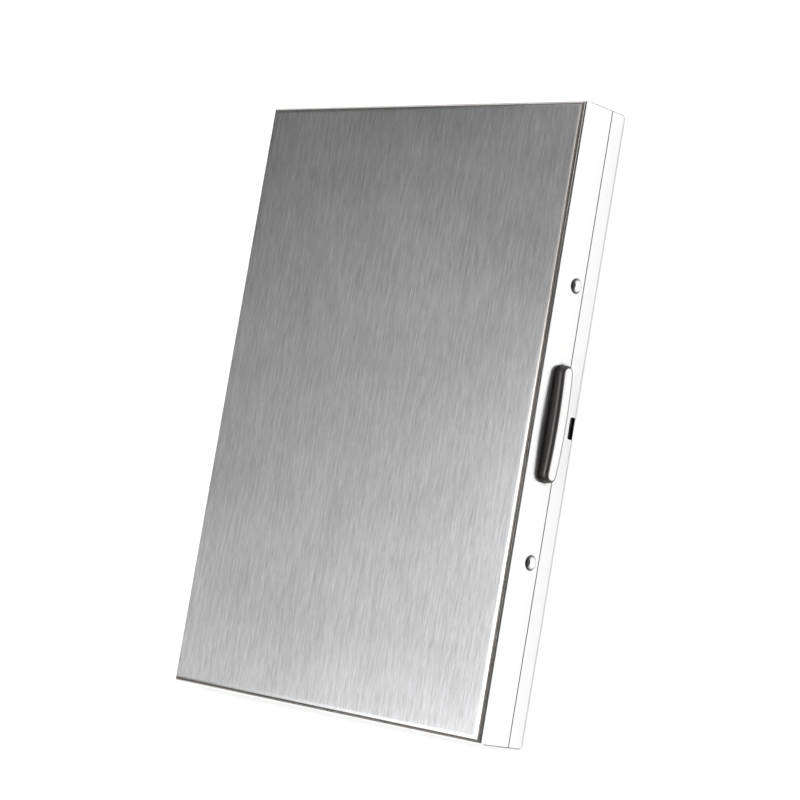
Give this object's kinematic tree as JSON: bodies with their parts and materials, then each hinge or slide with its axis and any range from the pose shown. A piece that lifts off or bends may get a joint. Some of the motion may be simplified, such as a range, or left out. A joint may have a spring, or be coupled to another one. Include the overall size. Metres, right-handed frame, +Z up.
{
  "type": "business card case",
  "caption": "Slim flat metal card case with a brushed face, a piano hinge on one long side, an oval push-button latch on the other and a fan-out pocket organizer inside.",
  "frame": {"origin": "middle of the flat underside of the closed case lying on its back", "axes": "+Z up through the brushed lid, +Y along the long side, +X from the hinge wall to the latch wall"},
  "size_m": [0.0723, 0.098, 0.0106],
  "materials": {
    "brushed_steel": "brushed along the length on the faces, bright on the folded walls",
    "hinge_steel": "satin",
    "polished_steel": "polished",
    "spring_steel": "plain rolled",
    "black_steel": "blackened",
    "adhesive_tape": "matt film",
    "leaf_plastic": "fine pebbled polypropylene",
    "gusset_film": "soft matt film"
  },
  "bodies": {
    "base": {"base_shell": "brushed_steel", "base_hinge_leaf": "hinge_steel", "hinge_pin": "hinge_steel", "organizer_tape_base": "adhesive_tape", "divider_1": "leaf_plastic", "gusset_1": "gusset_film"},
    "lid": {"lid_shell": "brushed_steel", "lid_hinge_leaf": "hinge_steel", "latch_rivet_upper": "polished_steel", "latch_rivet_lower": "polished_steel", "organizer_tape_lid": "adhesive_tape"},
    "latch": {"push_button": "polished_steel", "latch_spring": "spring_steel", "latch_hook": "black_steel"},
    "leaf_2": {"divider_2": "leaf_plastic", "gusset_2": "gusset_film"},
    "leaf_3": {"divider_3": "leaf_plastic", "gusset_3": "gusset_film"},
    "leaf_4": {"divider_4": "leaf_plastic", "gusset_4": "gusset_film"},
    "leaf_5": {"divider_5": "leaf_plastic", "gusset_5": "gusset_film"},
    "leaf_6": {"divider_6": "leaf_plastic", "gusset_6": "gusset_film"},
    "leaf_7": {"divider_7": "leaf_plastic"}
  },
  "joints": [
    {"name": "lid_hinge", "type": "hinge", "parent": "base", "child": "lid", "pos_m": [-0.03485, 0, 0.00365], "axis": [0, -1, 0], "range_deg": [0, 54]},
    {"name": "latch_press", "type": "slide", "parent": "lid", "child": "latch", "axis": [-1, 0, 0], "range_m": [0, 0.001], "stiffness_N_per_m": 3000, "deforming": ["latch_spring"]},
    {"name": "leaf_2_fan", "type": "hinge", "parent": "base", "child": "leaf_2", "pos_m": [-0.03485, 0, 0.00365], "axis": [0, -1, 0], "range_deg": [0, 9], "deforming": ["gusset_1"]},
    {"name": "leaf_3_fan", "type": "hinge", "parent": "leaf_2", "child": "leaf_3", "pos_m": [-0.03485, 0, 0.00365], "axis": [0, -1, 0], "range_deg": [0, 9], "deforming": ["gusset_2"]},
    {"name": "leaf_4_fan", "type": "hinge", "parent": "leaf_3", "child": "leaf_4", "pos_m": [-0.03485, 0, 0.00365], "axis": [0, -1, 0], "range_deg": [0, 9], "deforming": ["gusset_3"]},
    {"name": "leaf_5_fan", "type": "hinge", "parent": "leaf_4", "child": "leaf_5", "pos_m": [-0.03485, 0, 0.00365], "axis": [0, -1, 0], "range_deg": [0, 9], "deforming": ["gusset_4"]},
    {"name": "leaf_6_fan", "type": "hinge", "parent": "leaf_5", "child": "leaf_6", "pos_m": [-0.03485, 0, 0.00365], "axis": [0, -1, 0], "range_deg": [0, 9], "deforming": ["gusset_5"]},
    {"name": "leaf_7_fan", "type": "hinge", "parent": "leaf_6", "child": "leaf_7", "pos_m": [-0.03485, 0, 0.00365], "axis": [0, -1, 0], "range_deg": [0, 9], "deforming": ["gusset_6"]}
  ],
  "couplings": [
    {"joint": "leaf_2_fan", "follows": "lid_hinge", "ratio": 0.16667},
    {"joint": "leaf_3_fan", "follows": "lid_hinge", "ratio": 0.16667},
    {"joint": "leaf_4_fan", "follows": "lid_hinge", "ratio": 0.16667},
    {"joint": "leaf_5_fan", "follows": "lid_hinge", "ratio": 0.16667},
    {"joint": "leaf_6_fan", "follows": "lid_hinge", "ratio": 0.16667},
    {"joint": "leaf_7_fan", "follows": "lid_hinge", "ratio": 0.16667}
  ]
}
